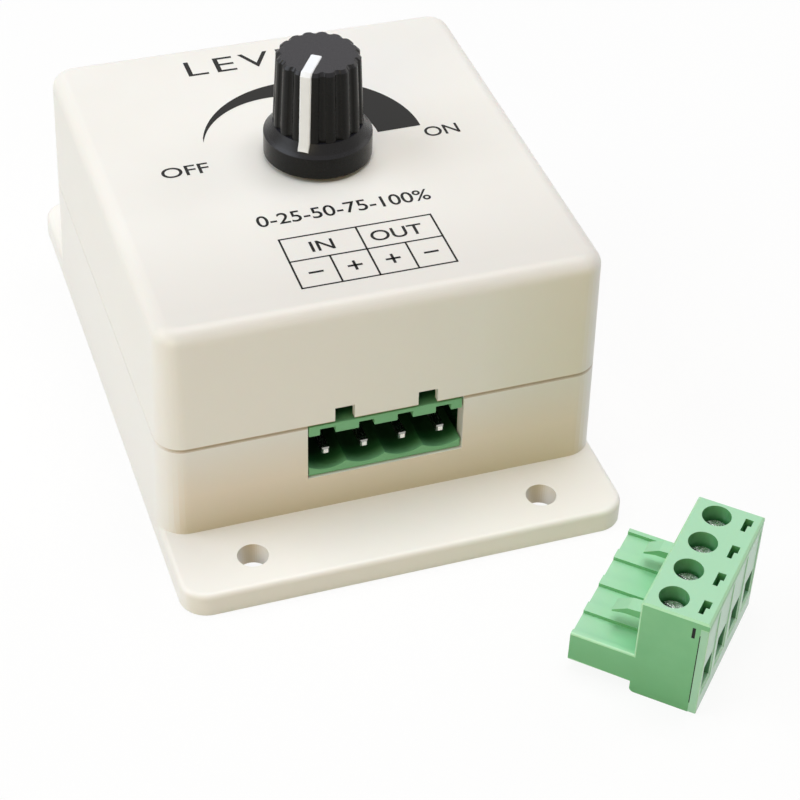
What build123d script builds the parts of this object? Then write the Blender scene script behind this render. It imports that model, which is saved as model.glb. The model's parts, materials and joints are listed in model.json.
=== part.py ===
"""Rotary LED dimmer in a flanged surface box, with its screw-clamp terminal plug taken out."""

import os
from math import cos, radians, sin, tan

from build123d import *

os.makedirs("parts", exist_ok=True)

# Case
case_width = 58.6
case_length = 64.0
case_height = 34.4
seam_height = 16.8
draft_angle = 1.3
corner_radius = 3.8
top_edge_radius = 2.2
wall = 2.0
floor_thickness = 2.2
top_thickness = 2.0
seam_chamfer = 0.18

# Fixing flange
flange_length = 87.0
flange_thickness = 3.2
flange_corner_radius = 3.6
flange_edge_radius = 0.8
fixing_hole_diameter = 4.0
fixing_spacing_x = 38.5
fixing_spacing_y = 76.0

# Locating lip round the seam
lip_height = 1.0
lip_thickness = 0.9
lip_clearance = 0.1

# Screw pillars and case screws
pillar_diameter = 6.6
pillar_wall_gap = 0.5
case_screw_diameter = 2.8
case_screw_head_diameter = 5.2
case_screw_head_height = 2.0
case_screw_length = 20.0
screw_hole_clearance = 0.2
head_recess_depth = 3.0
recess_clearance = 0.4
cross_width = 0.8
cross_depth = 1.0

# Circuit board
board_thickness = 1.6
board_back_gap = 7.3
board_clearance = 0.35
post_diameter = 5.0
post_inset_x = 3.9
post_inset_front = 5.5
post_inset_back = 4.0
board_screw_diameter = 2.2
board_screw_head_diameter = 4.4
board_screw_head_height = 1.5
board_screw_length = 4.6
lead_hole_clearance = 0.3
lead_tail = 1.4
screw_tip_gap = 0.6

# Terminal pitch shared by the socket and the plug
pitch = 5.08
poles = 4
mating_clearance = 0.3

# Terminal plug
plug_x = 25.3
plug_y = -62.5
plug_turn = -43.6
plug_height = 15.0
plug_depth = 8.4
plug_top_thickness = 1.0
plug_edge = 0.25
plug_toe_radius = 0.6
mating_length = 8.0
mating_top = 6.1
mating_bottom = 0.9
mating_step = 0.5
mating_ridge_width = 1.6
scallop_height = 0.8
contact_height = 2.85
lug_spacing = 10.9
lug_width = 2.0
lug_length = 4.4
lug_height = 1.3
lug_root_height = 1.5
lug_shoulder = 2.5
lug_tip_thickness = 0.25
lug_arch = 0.35
lug_nose = 1.5
lug_roof_clearance = 0.15

# Clamp chambers, screws and cages of the plug
screw_offset = 3.1
well_diameter = 3.6
well_floor = 10.4
well_clearance = 0.1
clamp_screw_edge = 0.2
clamp_screw_diameter = 2.4
clamp_screw_head_height = 2.4
clamp_screw_gap = 0.1
clamp_slot_width = 0.6
clamp_slot_depth = 0.8
clamp_slot_angle = 70.0
thread_clearance = 0.05
chamber_width = 4.0
chamber_front = 0.8
chamber_floor = 1.0
chamber_top = 9.0
cage_clearance = 0.2
cage_wall = 0.6
cage_top_thickness = 1.2
cage_opening = 3.0
cage_length = 4.6
wire_face_thickness = 1.0
wire_hole_width = 3.2
wire_hole_height = 4.0
wire_hole_floor = 3.0
panel_width = 3.9
panel_depth = 0.12
panel_floor = 2.5
panel_top = 13.4
latch_slot_width = 0.4
latch_slot_height = 1.7
latch_slot_depth = 0.4
window_length = 2.3
window_wide = 1.0
window_narrow = 0.6
window_depth = 2.4

# Contacts of the plug
contact_width = 2.0
contact_socket_height = 2.2
contact_bar_thickness = 0.8
contact_clearance = 0.2
pin_clearance = 0.08

# Terminal socket
socket_headroom = 0.2
socket_recess = 0.3
socket_depth = 11.8
socket_floor = 0.7
socket_end_clearance = 0.06
opening_clearance = 0.12
opening_cut = 8.0
pin_width = 1.0
pin_setback = 0.8
pin_hole_diameter = 1.6
seat_fit = 0.02
cavity_back_wall = 2.6
notch_width = 2.0
notch_depth = 0.95
cavity_roof = 0.65
code_slot_clearance = 0.28
code_slot_headroom = 0.75
pin_exit = 1.4

# Potentiometer
shaft_x = 0.8
shaft_y = 1.0
shaft_diameter = 6.0
shaft_clearance = 0.05
shaft_pivot_diameter = 2.9
shaft_seat_diameter = 4.0
shaft_collar_diameter = 8.0
shaft_slot_width = 1.0
shaft_slot_depth = 7.0
cover_hole_clearance = 0.6
pot_stand = 1.0
wafer_thickness = 1.6
wafer_tongue_width = 14.0
wafer_tongue_reach = 11.6
track_thickness = 0.2
track_outer_diameter = 13.0
track_inner_diameter = 9.6
track_sweep = 310.0
can_diameter = 16.5
can_wall = 0.6
can_height = 7.4
can_edge = 0.4
bushing_diameter = 7.0
bushing_length = 6.6
bushing_flange_diameter = 9.4
bushing_flange_thickness = 0.9
bushing_chamfer = 0.25
wiper_diameter = 11.6
wiper_thickness = 2.0
wiper_lift = 1.2
wiper_gap = 0.05
wiper_finger_width = 1.2
wiper_finger_length = 0.7
terminal_spacing = 5.0
terminal_reach = 9.9
terminal_width = 0.8
tag_width = 2.4
tag_height = 0.5

# Knob
knob_gap = 0.6
knob_height = 14.4
skirt_diameter = 14.2
skirt_height = 3.1
bevel_height = 1.4
grip_base_diameter = 11.8
grip_top_diameter = 10.9
flute_count = 16
groove_angle = 10.0
groove_depth = 0.4
rib_rise = 0.14
knob_edge = 0.4
knob_hub_diameter = 9.0
knob_skirt_wall = 1.1
knob_hollow = 2.6
knob_hub_gap = 0.3
knob_bore_depth = 11.8
knob_fit = 0.03
pointer_angle = 34.0
pointer_width = 1.5
pointer_start = 0.7
pointer_depth = 0.7
pointer_proud = 0.1
pointer_skirt_drop = 0.95

# Parts on the board: distance of each centre from an edge of the board, the socket's pins or the shaft
side_inset = 4.2
transistor_width = 6.6
transistor_body_length = 6.2
transistor_body_height = 1.8
transistor_edge = 0.3
transistor_tab_width = 5.4
transistor_tab_length = 6.4
transistor_tab_reach = 1.2
transistor_tab_thickness = 0.5
transistor_lead_spacing = 4.57
transistor_lead_width = 0.8
transistor_lead_length = 3.0
transistor_lead_reach = 2.7
capacitor_inset = 5.9
capacitor_from_pins = 4.8
capacitor_diameter = 8.0
capacitor_height = 12.0
capacitor_lead_pitch = 3.5
capacitor_lead_diameter = 0.6
capacitor_edge = 0.4
chip_length = 4.9
chip_width = 3.9
chip_height = 1.5
chip_stand = 0.2
chip_row_spacing = 5.6
chip_leg_pitch = 1.27
chip_leg_width = 0.4
chip_leg_thickness = 0.25
resistor_rows = (5.9, 9.1, 12.3)
resistor_length = 3.2
resistor_width = 1.6
resistor_height = 0.7
diode_inset = 7.9
diode_from_back = 8.9
diode_length = 4.4
diode_width = 2.6
diode_height = 2.2
diode_edge = 0.3
ceramic_length = 2.0
ceramic_width = 1.3
ceramic_height = 1.3

# Worked out levels: the socket hangs under the seam and the board under the socket
mating_height = mating_top - mating_bottom
socket_height = socket_floor + mating_height + 2 * mating_clearance + notch_depth + cavity_roof
board_top = seam_height - socket_headroom - socket_height
board_bottom = board_top - board_thickness

# Worked out case sizes
slope = tan(radians(draft_angle))


def outer_inset(z):
    return slope * (z - flange_thickness)


def inner_inset(z):
    return wall + slope * (z - floor_thickness)


seam_width = case_width - 2 * outer_inset(seam_height)
seam_length = case_length - 2 * outer_inset(seam_height)
seam_radius = corner_radius - outer_inset(seam_height)
inner_width = case_width - 2 * inner_inset(seam_height)
inner_length = case_length - 2 * inner_inset(seam_height)
inner_radius = corner_radius - inner_inset(seam_height)
pillar_x = inner_width / 2 - pillar_diameter / 2 - pillar_wall_gap
pillar_y = inner_length / 2 - pillar_diameter / 2 - pillar_wall_gap
pillar_places = [(sx * pillar_x, sy * pillar_y) for sx in (-1, 1) for sy in (-1, 1)]
fixing_places = [
    (sx * fixing_spacing_x / 2, sy * fixing_spacing_y / 2) for sx in (-1, 1) for sy in (-1, 1)
]
front_face = -(case_length / 2 - outer_inset(board_top))
inner_front = -(case_length / 2 - inner_inset(board_top))
inner_top = case_height - top_thickness

# Worked out board sizes
board_width = 2 * (pillar_x - pillar_diameter / 2 - board_clearance)
board_front = inner_front + board_clearance
board_back = -inner_front - board_back_gap
board_length = board_back - board_front
board_middle = (board_back + board_front) / 2
board_edge = board_width / 2
post_x = board_edge - post_inset_x
post_rows = (board_front + post_inset_front, board_back - post_inset_back)
post_places = [(sx * post_x, y) for sx in (-1, 1) for y in post_rows]
tail_end = board_bottom - lead_tail

# Worked out socket sizes: the plug's mating half and its clearance set the cavity
plug_width = pitch * poles
pole_offsets = [pitch * (n - (poles - 1) / 2) for n in range(poles)]
cavity_floor = board_top + socket_floor
pin_height = cavity_floor + mating_clearance + contact_height - mating_bottom
cavity_top = cavity_floor + mating_height + 2 * mating_clearance
socket_top = board_top + socket_height
socket_front = front_face + socket_recess
socket_back = socket_front + socket_depth
cavity_back = socket_back - cavity_back_wall
socket_width = plug_width - 2 * socket_end_clearance
opening_width = plug_width + 2 * opening_clearance
opening_floor = board_top - opening_clearance
lug_level = mating_top + mating_clearance + notch_depth + cavity_roof + lug_roof_clearance
seated_lift = cavity_floor + mating_clearance - mating_bottom
code_slot_top = seated_lift + lug_level + lug_root_height + code_slot_headroom
pin_tip = socket_front + pin_setback
pin_drop = socket_back + pin_exit

# Worked out potentiometer and knob levels
wafer_bottom = board_top + pot_stand
wafer_top = wafer_bottom + wafer_thickness
track_top = wafer_top + track_thickness
can_top = wafer_top + can_height
wiper_bottom = track_top + wiper_lift
wiper_top = wiper_bottom + wiper_thickness
knob_bottom = case_height + knob_gap
knob_top = knob_bottom + knob_height
skirt_top = knob_bottom + skirt_height
grip_base = skirt_top + bevel_height
hub_bottom = knob_bottom + knob_hub_gap
bore_top = hub_bottom + knob_bore_depth
shaft_top = bore_top - knob_fit
shaft_axis = Axis((shaft_x, shaft_y, 0), (0, 0, 1))
shaft_section = Plane((shaft_x, shaft_y, 0), x_dir=(1, 0, 0), z_dir=(0, -1, 0))
skirt_radius = skirt_diameter / 2
grip_base_radius = grip_base_diameter / 2
grip_top_radius = grip_top_diameter / 2
rib_angle = 360 / flute_count
pointer_heading = -90 - pointer_angle
bevel_run = skirt_radius - grip_base_radius - knob_edge
bevel_fall = bevel_height - knob_edge / 2
pointer_end = grip_base_radius + bevel_run * pointer_skirt_drop / bevel_fall
pointer_low = grip_base - pointer_skirt_drop


def around_shaft(radius, angle):
    return shaft_x + radius * cos(radians(angle)), shaft_y + radius * sin(radians(angle))


pointer_plane = Plane(
    (shaft_x, shaft_y, 0),
    x_dir=(cos(radians(pointer_heading)), sin(radians(pointer_heading)), 0),
    z_dir=(sin(radians(pointer_heading)), -cos(radians(pointer_heading)), 0),
)

# Planes of the plug: x towards the wire side, y along the row of poles
plug_plane = Plane((plug_x, plug_y, 0), x_dir=(cos(radians(plug_turn)), sin(radians(plug_turn)), 0))
plug_side = Plane(plug_plane.origin, x_dir=plug_plane.x_dir, z_dir=-plug_plane.y_dir)
half_plug = plug_width / 2
ledge_back = plug_depth - wire_face_thickness


def plug_section(reach):
    return Plane(
        plug_plane.from_local_coords((reach, 0, 0)), x_dir=plug_plane.y_dir, z_dir=plug_plane.x_dir
    )


def finish(builder, name):
    builder.part.label = name
    export_step(builder.part, f"parts/{name}.step")


# Base: flanged tray with lip, pillars, board posts and the terminal opening
with BuildPart() as base_shell:
    with BuildSketch():
        RectangleRounded(case_width, flange_length, flange_corner_radius)
    extrude(amount=flange_thickness)
    fillet(base_shell.faces().sort_by(Axis.Z)[-1].edges(), flange_edge_radius)
    with BuildSketch():
        RectangleRounded(case_width, case_length, corner_radius)
    extrude(amount=flange_thickness)
    with BuildSketch(Plane.XY.offset(flange_thickness)):
        RectangleRounded(case_width, case_length, corner_radius)
    extrude(amount=seam_height - flange_thickness, taper=draft_angle)
    chamfer(base_shell.faces().sort_by(Axis.Z)[-1].edges(), seam_chamfer)
    with BuildSketch(Plane.XY.offset(floor_thickness)):
        RectangleRounded(case_width - 2 * wall, case_length - 2 * wall, corner_radius - wall)
    extrude(amount=seam_height - floor_thickness, taper=draft_angle, mode=Mode.SUBTRACT)
    with BuildSketch(Plane.XY.offset(seam_height)):
        RectangleRounded(
            inner_width + 2 * lip_thickness, inner_length + 2 * lip_thickness, inner_radius + lip_thickness
        )
        RectangleRounded(inner_width, inner_length, inner_radius, mode=Mode.SUBTRACT)
    extrude(amount=lip_height)
    with BuildSketch(Plane.XY.offset(floor_thickness)):
        with Locations(*pillar_places):
            Circle(pillar_diameter / 2)
    extrude(amount=seam_height - floor_thickness)
    with BuildSketch(Plane.XY.offset(floor_thickness)):
        with Locations(*post_places):
            Circle(post_diameter / 2)
    extrude(amount=board_bottom - floor_thickness)
    with BuildSketch(Plane.XY.offset(board_bottom)):
        with Locations(*post_places):
            Circle(board_screw_diameter / 2)
    extrude(amount=board_thickness - board_screw_length - screw_tip_gap, mode=Mode.SUBTRACT)
    with BuildSketch():
        with Locations(*pillar_places):
            Circle(case_screw_diameter / 2 + screw_hole_clearance)
    extrude(amount=seam_height, mode=Mode.SUBTRACT)
    with BuildSketch():
        with Locations(*pillar_places):
            Circle(case_screw_head_diameter / 2 + recess_clearance)
    extrude(amount=head_recess_depth, mode=Mode.SUBTRACT)
    with BuildSketch():
        with Locations(*fixing_places):
            Circle(fixing_hole_diameter / 2)
    extrude(amount=flange_thickness, mode=Mode.SUBTRACT)
    with Locations((0, front_face, opening_floor)):
        Box(
            opening_width,
            opening_cut,
            case_height,
            align=(Align.CENTER, Align.CENTER, Align.MIN),
            mode=Mode.SUBTRACT,
        )
finish(base_shell, "base_shell")

# Cover: drafted shell with rounded top edges, shaft hole, pillars and coding slots
with BuildPart() as cover_shell:
    with BuildSketch(Plane.XY.offset(seam_height)):
        RectangleRounded(seam_width, seam_length, seam_radius)
    extrude(amount=case_height - seam_height, taper=draft_angle)
    fillet(cover_shell.faces().sort_by(Axis.Z)[-1].edges(), top_edge_radius)
    chamfer(cover_shell.faces().sort_by(Axis.Z)[0].edges(), seam_chamfer)
    with BuildSketch(Plane.XY.offset(seam_height)):
        RectangleRounded(inner_width, inner_length, inner_radius)
    extrude(amount=inner_top - seam_height, taper=draft_angle, mode=Mode.SUBTRACT)
    with BuildSketch(Plane.XY.offset(seam_height)):
        RectangleRounded(
            inner_width + 2 * lip_thickness + 2 * lip_clearance,
            inner_length + 2 * lip_thickness + 2 * lip_clearance,
            inner_radius + lip_thickness + lip_clearance,
        )
    extrude(amount=lip_height + lip_clearance, mode=Mode.SUBTRACT)
    with BuildSketch(Plane.XY.offset(seam_height)):
        with Locations(*pillar_places):
            Circle(pillar_diameter / 2)
    extrude(amount=inner_top - seam_height)
    with BuildSketch(Plane.XY.offset(seam_height)):
        with Locations(*pillar_places):
            Circle(case_screw_diameter / 2 + thread_clearance)
    extrude(amount=head_recess_depth + case_screw_length + screw_tip_gap - seam_height, mode=Mode.SUBTRACT)
    with BuildSketch(Plane.XY.offset(inner_top)):
        with Locations((shaft_x, shaft_y)):
            Circle(shaft_diameter / 2 + cover_hole_clearance)
    extrude(amount=top_thickness, mode=Mode.SUBTRACT)
    with Locations((-lug_spacing / 2, front_face, seam_height), (lug_spacing / 2, front_face, seam_height)):
        Box(
            lug_width + 2 * code_slot_clearance,
            opening_cut,
            code_slot_top - seam_height,
            align=(Align.CENTER, Align.CENTER, Align.MIN),
            mode=Mode.SUBTRACT,
        )
finish(cover_shell, "cover_shell")

# Case screws: driven up through the base pillars into the cover pillars
case_screw_seat = head_recess_depth
with BuildPart() as case_screws:
    with BuildSketch(Plane.XY.offset(case_screw_seat)):
        with Locations(*pillar_places):
            Circle(case_screw_head_diameter / 2)
    extrude(amount=-case_screw_head_height)
    with BuildSketch(Plane.XY.offset(case_screw_seat)):
        with Locations(*pillar_places):
            Circle(case_screw_diameter / 2)
    extrude(amount=case_screw_length)
    with BuildSketch(Plane.XY.offset(case_screw_seat - case_screw_head_height)):
        with Locations(*pillar_places):
            Rectangle(case_screw_head_diameter / 2, cross_width)
            Rectangle(cross_width, case_screw_head_diameter / 2)
    extrude(amount=cross_depth, mode=Mode.SUBTRACT)
finish(case_screws, "case_screws")

# Circuit board with the holes of every lead
pin_places = [(x, pin_drop) for x in pole_offsets]
terminal_places = [(shaft_x + n * terminal_spacing, shaft_y - terminal_reach) for n in (-1, 0, 1)]
capacitor_place = (board_edge - capacitor_inset, pin_drop + capacitor_from_pins)
capacitor_leads = [(capacitor_place[0] + n * capacitor_lead_pitch / 2, capacitor_place[1]) for n in (-1, 1)]
with BuildPart() as circuit_board:
    with BuildSketch(Plane.XY.offset(board_bottom)):
        with Locations((0, board_middle)):
            Rectangle(board_width, board_length)
        with Locations(*post_places):
            Circle(board_screw_diameter / 2 + screw_hole_clearance, mode=Mode.SUBTRACT)
        with Locations(*pin_places):
            Circle(pin_hole_diameter / 2, mode=Mode.SUBTRACT)
        with Locations(*capacitor_leads):
            Circle((capacitor_lead_diameter + lead_hole_clearance) / 2, mode=Mode.SUBTRACT)
        with Locations(*terminal_places):
            Circle(terminal_width / 2 + lead_hole_clearance, mode=Mode.SUBTRACT)
    extrude(amount=board_thickness)
finish(circuit_board, "circuit_board")

# Board screws into the posts
with BuildPart() as board_screws:
    with BuildSketch(Plane.XY.offset(board_top)):
        with Locations(*post_places):
            Circle(board_screw_head_diameter / 2)
    extrude(amount=board_screw_head_height)
    with BuildSketch(Plane.XY.offset(board_top)):
        with Locations(*post_places):
            Circle(board_screw_diameter / 2 - thread_clearance)
    extrude(amount=-board_screw_length)
finish(board_screws, "board_screws")

# Terminal socket: open-ended channel with a scalloped floor and a castellated roof
with BuildPart() as terminal_header:
    with BuildSketch(Plane.XZ.offset(-socket_back)):
        with Locations((0, (board_top + socket_top) / 2)):
            Rectangle(socket_width, socket_top - board_top)
    extrude(amount=socket_depth)
    with BuildSketch(Plane.XZ.offset(-cavity_back)):
        with BuildLine():
            for x in pole_offsets:
                ThreePointArc(
                    (x - pitch / 2, cavity_floor + scallop_height),
                    (x, cavity_floor),
                    (x + pitch / 2, cavity_floor + scallop_height),
                )
            roof_points = [(half_plug, cavity_floor + scallop_height), (half_plug, cavity_top)]
            for x in reversed(pole_offsets):
                roof_points.append((x + notch_width / 2, cavity_top))
                roof_points.append((x + notch_width / 2, cavity_top + notch_depth))
                roof_points.append((x - notch_width / 2, cavity_top + notch_depth))
                roof_points.append((x - notch_width / 2, cavity_top))
            roof_points.append((-half_plug, cavity_top))
            roof_points.append((-half_plug, cavity_floor + scallop_height))
            Polyline(*roof_points)
        make_face()
    extrude(amount=socket_depth, mode=Mode.SUBTRACT)
    with BuildSketch(Plane.XZ.offset(-socket_back)):
        with Locations(*[(x, pin_height) for x in pole_offsets]):
            Rectangle(pin_width + 2 * seat_fit, pin_width + 2 * seat_fit)
    extrude(amount=cavity_back_wall, mode=Mode.SUBTRACT)
finish(terminal_header, "terminal_header")

# Socket pins: square wire, straight through the back wall, then down through the board
with BuildPart() as header_pins:
    with BuildSketch(Plane.XZ.offset(-pin_drop - pin_width / 2)):
        with Locations(*[(x, pin_height) for x in pole_offsets]):
            Rectangle(pin_width, pin_width)
    extrude(amount=pin_drop + pin_width / 2 - pin_tip)
    chamfer(header_pins.faces().filter_by(Axis.Y).group_by(Axis.Y)[0].edges(), pin_width / 5)
    with BuildSketch(Plane.XY.offset(pin_height)):
        with Locations(*pin_places):
            Rectangle(pin_width, pin_width)
    extrude(amount=tail_end - pin_height)
finish(header_pins, "header_pins")

# Potentiometer wafer: round base with a tongue for the terminals
with BuildPart() as pot_wafer:
    with BuildSketch(Plane.XY.offset(wafer_bottom)):
        with Locations((shaft_x, shaft_y)):
            Circle(can_diameter / 2)
        with Locations((shaft_x, shaft_y - wafer_tongue_reach / 2)):
            Rectangle(wafer_tongue_width, wafer_tongue_reach)
        with Locations((shaft_x, shaft_y)):
            Circle(shaft_pivot_diameter / 2 + shaft_clearance, mode=Mode.SUBTRACT)
        with Locations(*terminal_places):
            Circle(terminal_width / 2 + lead_hole_clearance, mode=Mode.SUBTRACT)
    extrude(amount=wafer_thickness)
finish(pot_wafer, "pot_wafer")

# Resistance track printed on the wafer, open towards the terminals
with BuildPart() as pot_track:
    with BuildSketch(Plane.XY.offset(wafer_top)):
        with BuildLine():
            gap = 360 - track_sweep
            outer_arc = CenterArc((shaft_x, shaft_y), track_outer_diameter / 2, gap / 2 - 90, track_sweep)
            inner_arc = CenterArc((shaft_x, shaft_y), track_inner_diameter / 2, gap / 2 - 90, track_sweep)
            Line(outer_arc @ 0, inner_arc @ 0)
            Line(outer_arc @ 1, inner_arc @ 1)
        make_face()
    extrude(amount=track_thickness)
finish(pot_track, "pot_track")

# Pressed metal can over the wafer
with BuildPart() as pot_can:
    with BuildSketch(Plane.XY.offset(wafer_top)):
        with Locations((shaft_x, shaft_y)):
            Circle(can_diameter / 2)
    extrude(amount=can_height)
    chamfer(pot_can.faces().sort_by(Axis.Z)[-1].edges(), can_edge)
    with BuildSketch(Plane.XY.offset(wafer_top)):
        with Locations((shaft_x, shaft_y)):
            Circle(can_diameter / 2 - can_wall)
    extrude(amount=can_height - can_wall, mode=Mode.SUBTRACT)
    with BuildSketch(Plane.XY.offset(can_top)):
        with Locations((shaft_x, shaft_y)):
            Circle(bushing_diameter / 2)
    extrude(amount=-can_wall, mode=Mode.SUBTRACT)
finish(pot_can, "pot_can")

# Bushing staked through the can
with BuildPart() as pot_bushing:
    with BuildSketch(Plane.XY.offset(can_top)):
        with Locations((shaft_x, shaft_y)):
            Circle(bushing_flange_diameter / 2)
    extrude(amount=bushing_flange_thickness)
    with BuildSketch(Plane.XY.offset(can_top - can_wall)):
        with Locations((shaft_x, shaft_y)):
            Circle(bushing_diameter / 2 - seat_fit)
    extrude(amount=bushing_length + can_wall)
    chamfer(pot_bushing.faces().sort_by(Axis.Z)[-1].edges(), bushing_chamfer)
    with BuildSketch(Plane.XY.offset(can_top - can_wall)):
        with Locations((shaft_x, shaft_y)):
            Circle(shaft_diameter / 2 + shaft_clearance)
    extrude(amount=bushing_length + can_wall, mode=Mode.SUBTRACT)
finish(pot_bushing, "pot_bushing")

# Terminals: a square tag on the wafer and a leg down into the board
with BuildPart() as pot_terminals:
    with BuildSketch(Plane.XY.offset(wafer_top)):
        with Locations(*terminal_places):
            Rectangle(tag_width, tag_width)
    extrude(amount=tag_height)
    with BuildSketch(Plane.XY.offset(wafer_top)):
        with Locations(*terminal_places):
            Rectangle(terminal_width, terminal_width / 2)
    extrude(amount=tail_end - wafer_top)
finish(pot_terminals, "pot_terminals")

# Shaft: pivot, wiper seat, collar, and a long stem that ends split inside the knob
collar_top = can_top - can_wall - shaft_clearance * 2
with BuildPart() as pot_shaft:
    with BuildSketch(shaft_section):
        with BuildLine():
            Polyline(
                (0, wafer_bottom + wiper_gap),
                (shaft_pivot_diameter / 2, wafer_bottom + wiper_gap),
                (shaft_pivot_diameter / 2, wiper_bottom),
                (shaft_seat_diameter / 2, wiper_bottom),
                (shaft_seat_diameter / 2, wiper_top),
                (shaft_collar_diameter / 2, wiper_top),
                (shaft_collar_diameter / 2, collar_top),
                (shaft_diameter / 2, collar_top),
                (shaft_diameter / 2, shaft_top),
                (0, shaft_top),
                close=True,
            )
        make_face()
    revolve(axis=shaft_axis)
    with BuildSketch(Plane.XY.offset(shaft_top)):
        with Locations((shaft_x, shaft_y)):
            Rectangle(shaft_collar_diameter, shaft_slot_width)
    extrude(amount=-shaft_slot_depth, mode=Mode.SUBTRACT)
finish(pot_shaft, "pot_shaft")

# Wiper: carrier on the shaft with a sprung finger over the track
finger_reach = (track_outer_diameter + track_inner_diameter) / 4
with BuildPart() as pot_wiper:
    with BuildSketch(Plane.XY.offset(wiper_bottom)):
        with Locations((shaft_x, shaft_y)):
            Circle(wiper_diameter / 2)
            Circle(shaft_seat_diameter / 2 + seat_fit, mode=Mode.SUBTRACT)
    extrude(amount=wiper_thickness)
    with BuildSketch(Plane.XY.offset(wiper_bottom)):
        with Locations((shaft_x, shaft_y)):
            with PolarLocations(finger_reach, 1, start_angle=pointer_heading):
                Rectangle(wiper_finger_length, wiper_finger_width)
    extrude(amount=wiper_gap - wiper_lift)
finish(pot_wiper, "pot_wiper")

# Outline of the knob's grip: rounded ribs with a narrow groove between neighbours
def grip_outline(radius, level):
    with BuildSketch(Plane.XY.offset(level)) as outline:
        with BuildLine():
            for n in range(flute_count):
                groove = pointer_heading + n * rib_angle
                crest = groove + rib_angle / 2
                low_edge = around_shaft(radius - rib_rise, groove - groove_angle / 2)
                high_edge = around_shaft(radius - rib_rise, groove + groove_angle / 2)
                next_edge = around_shaft(radius - rib_rise, groove + rib_angle - groove_angle / 2)
                ThreePointArc(low_edge, around_shaft(radius - groove_depth, groove), high_edge)
                ThreePointArc(high_edge, around_shaft(radius, crest), next_edge)
        make_face()
    return outline.sketch


# Knob: turned skirt and hub, ribbed grip, bore, and the slot of the pointer
with BuildPart() as knob:
    with BuildSketch(shaft_section):
        with BuildLine():
            Polyline(
                (0, grip_base),
                (grip_base_radius, grip_base),
                (skirt_radius - knob_edge, skirt_top + knob_edge / 2),
                (skirt_radius, skirt_top - knob_edge / 2),
                (skirt_radius, knob_bottom),
                (skirt_radius - knob_skirt_wall, knob_bottom),
                (skirt_radius - knob_skirt_wall, knob_bottom + knob_hollow),
                (knob_hub_diameter / 2, knob_bottom + knob_hollow),
                (knob_hub_diameter / 2, hub_bottom),
                (0, hub_bottom),
                close=True,
            )
        make_face()
    revolve(axis=shaft_axis)
    grip_sections = [
        grip_outline(grip_base_radius, grip_base),
        grip_outline(grip_top_radius, knob_top - knob_edge),
        grip_outline(grip_top_radius - knob_edge, knob_top),
    ]
    loft(grip_sections, ruled=True)
    with BuildSketch(Plane.XY.offset(hub_bottom)):
        with Locations((shaft_x, shaft_y)):
            Circle(shaft_diameter / 2 + knob_fit)
    extrude(amount=knob_bore_depth, mode=Mode.SUBTRACT)
    with BuildSketch(pointer_plane) as pointer_slot:
        with BuildLine():
            Polyline(
                (pointer_start, knob_top + pointer_proud),
                (grip_top_radius - knob_edge, knob_top + pointer_proud),
                (grip_top_radius + pointer_proud, knob_top - knob_edge),
                (grip_base_radius + pointer_proud, grip_base + pointer_proud),
                (pointer_end, pointer_low + pointer_proud),
                (pointer_end, pointer_low - pointer_depth),
                (grip_base_radius - pointer_depth, pointer_low - pointer_depth),
                (grip_top_radius - pointer_depth, knob_top - pointer_depth),
                (pointer_start, knob_top - pointer_depth),
                close=True,
            )
        make_face()
    extrude(amount=pointer_width / 2, both=True, mode=Mode.SUBTRACT)
finish(knob, "knob")

# Pointer: white insert that fills the slot from the top of the knob down to the skirt
with BuildPart() as knob_pointer:
    extrude(pointer_slot.sketch, amount=pointer_width / 2, both=True)
finish(knob_pointer, "knob_pointer")

# Switching transistor soldered flat: moulded body over a tab and two leads
transistor_x = side_inset - board_edge
transistor_back = shaft_y + transistor_body_length / 2
transistor_front = shaft_y - transistor_body_length / 2
with BuildPart() as transistor_body:
    with BuildSketch(Plane.XY.offset(board_top + transistor_tab_thickness)):
        with Locations((transistor_x, shaft_y)):
            Rectangle(transistor_width, transistor_body_length)
    extrude(amount=transistor_body_height)
    chamfer(transistor_body.faces().sort_by(Axis.Z)[-1].edges(), transistor_edge)
finish(transistor_body, "transistor_body")

tab_middle = transistor_back + transistor_tab_reach - transistor_tab_length / 2
lead_middle = transistor_front - transistor_lead_reach + transistor_lead_length / 2
with BuildPart() as transistor_tab:
    with BuildSketch(Plane.XY.offset(board_top)):
        with Locations((transistor_x, tab_middle)):
            Rectangle(transistor_tab_width, transistor_tab_length)
        with Locations(*[(transistor_x + n * transistor_lead_spacing / 2, lead_middle) for n in (-1, 1)]):
            Rectangle(transistor_lead_width, transistor_lead_length)
    extrude(amount=transistor_tab_thickness)
finish(transistor_tab, "transistor_tab")

# Upright electrolytic capacitor
with BuildPart() as filter_capacitor:
    with BuildSketch(Plane.XY.offset(board_top)):
        with Locations(capacitor_place):
            Circle(capacitor_diameter / 2)
    extrude(amount=capacitor_height)
    chamfer(filter_capacitor.faces().sort_by(Axis.Z)[-1].edges(), capacitor_edge)
    with BuildSketch(Plane.XY.offset(board_top)):
        with Locations(*capacitor_leads):
            Circle(capacitor_lead_diameter / 2)
    extrude(amount=tail_end - board_top)
finish(filter_capacitor, "filter_capacitor")

# Control chip: moulded body and two rows of bent legs
chip_place = (board_edge - side_inset, shaft_y)
chip_bottom = board_top + chip_stand
chip_level = chip_bottom + chip_height / 2
chip_rows = [chip_place[1] + chip_leg_pitch * (n - 1.5) for n in range(4)]
chip_feet = [(chip_place[0] + side * chip_row_spacing / 2, y) for side in (-1, 1) for y in chip_rows]
with BuildPart() as control_chip:
    with BuildSketch(Plane.XY.offset(chip_bottom)):
        with Locations(chip_place):
            Rectangle(chip_width, chip_length)
    extrude(amount=chip_height)
finish(control_chip, "control_chip")

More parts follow.
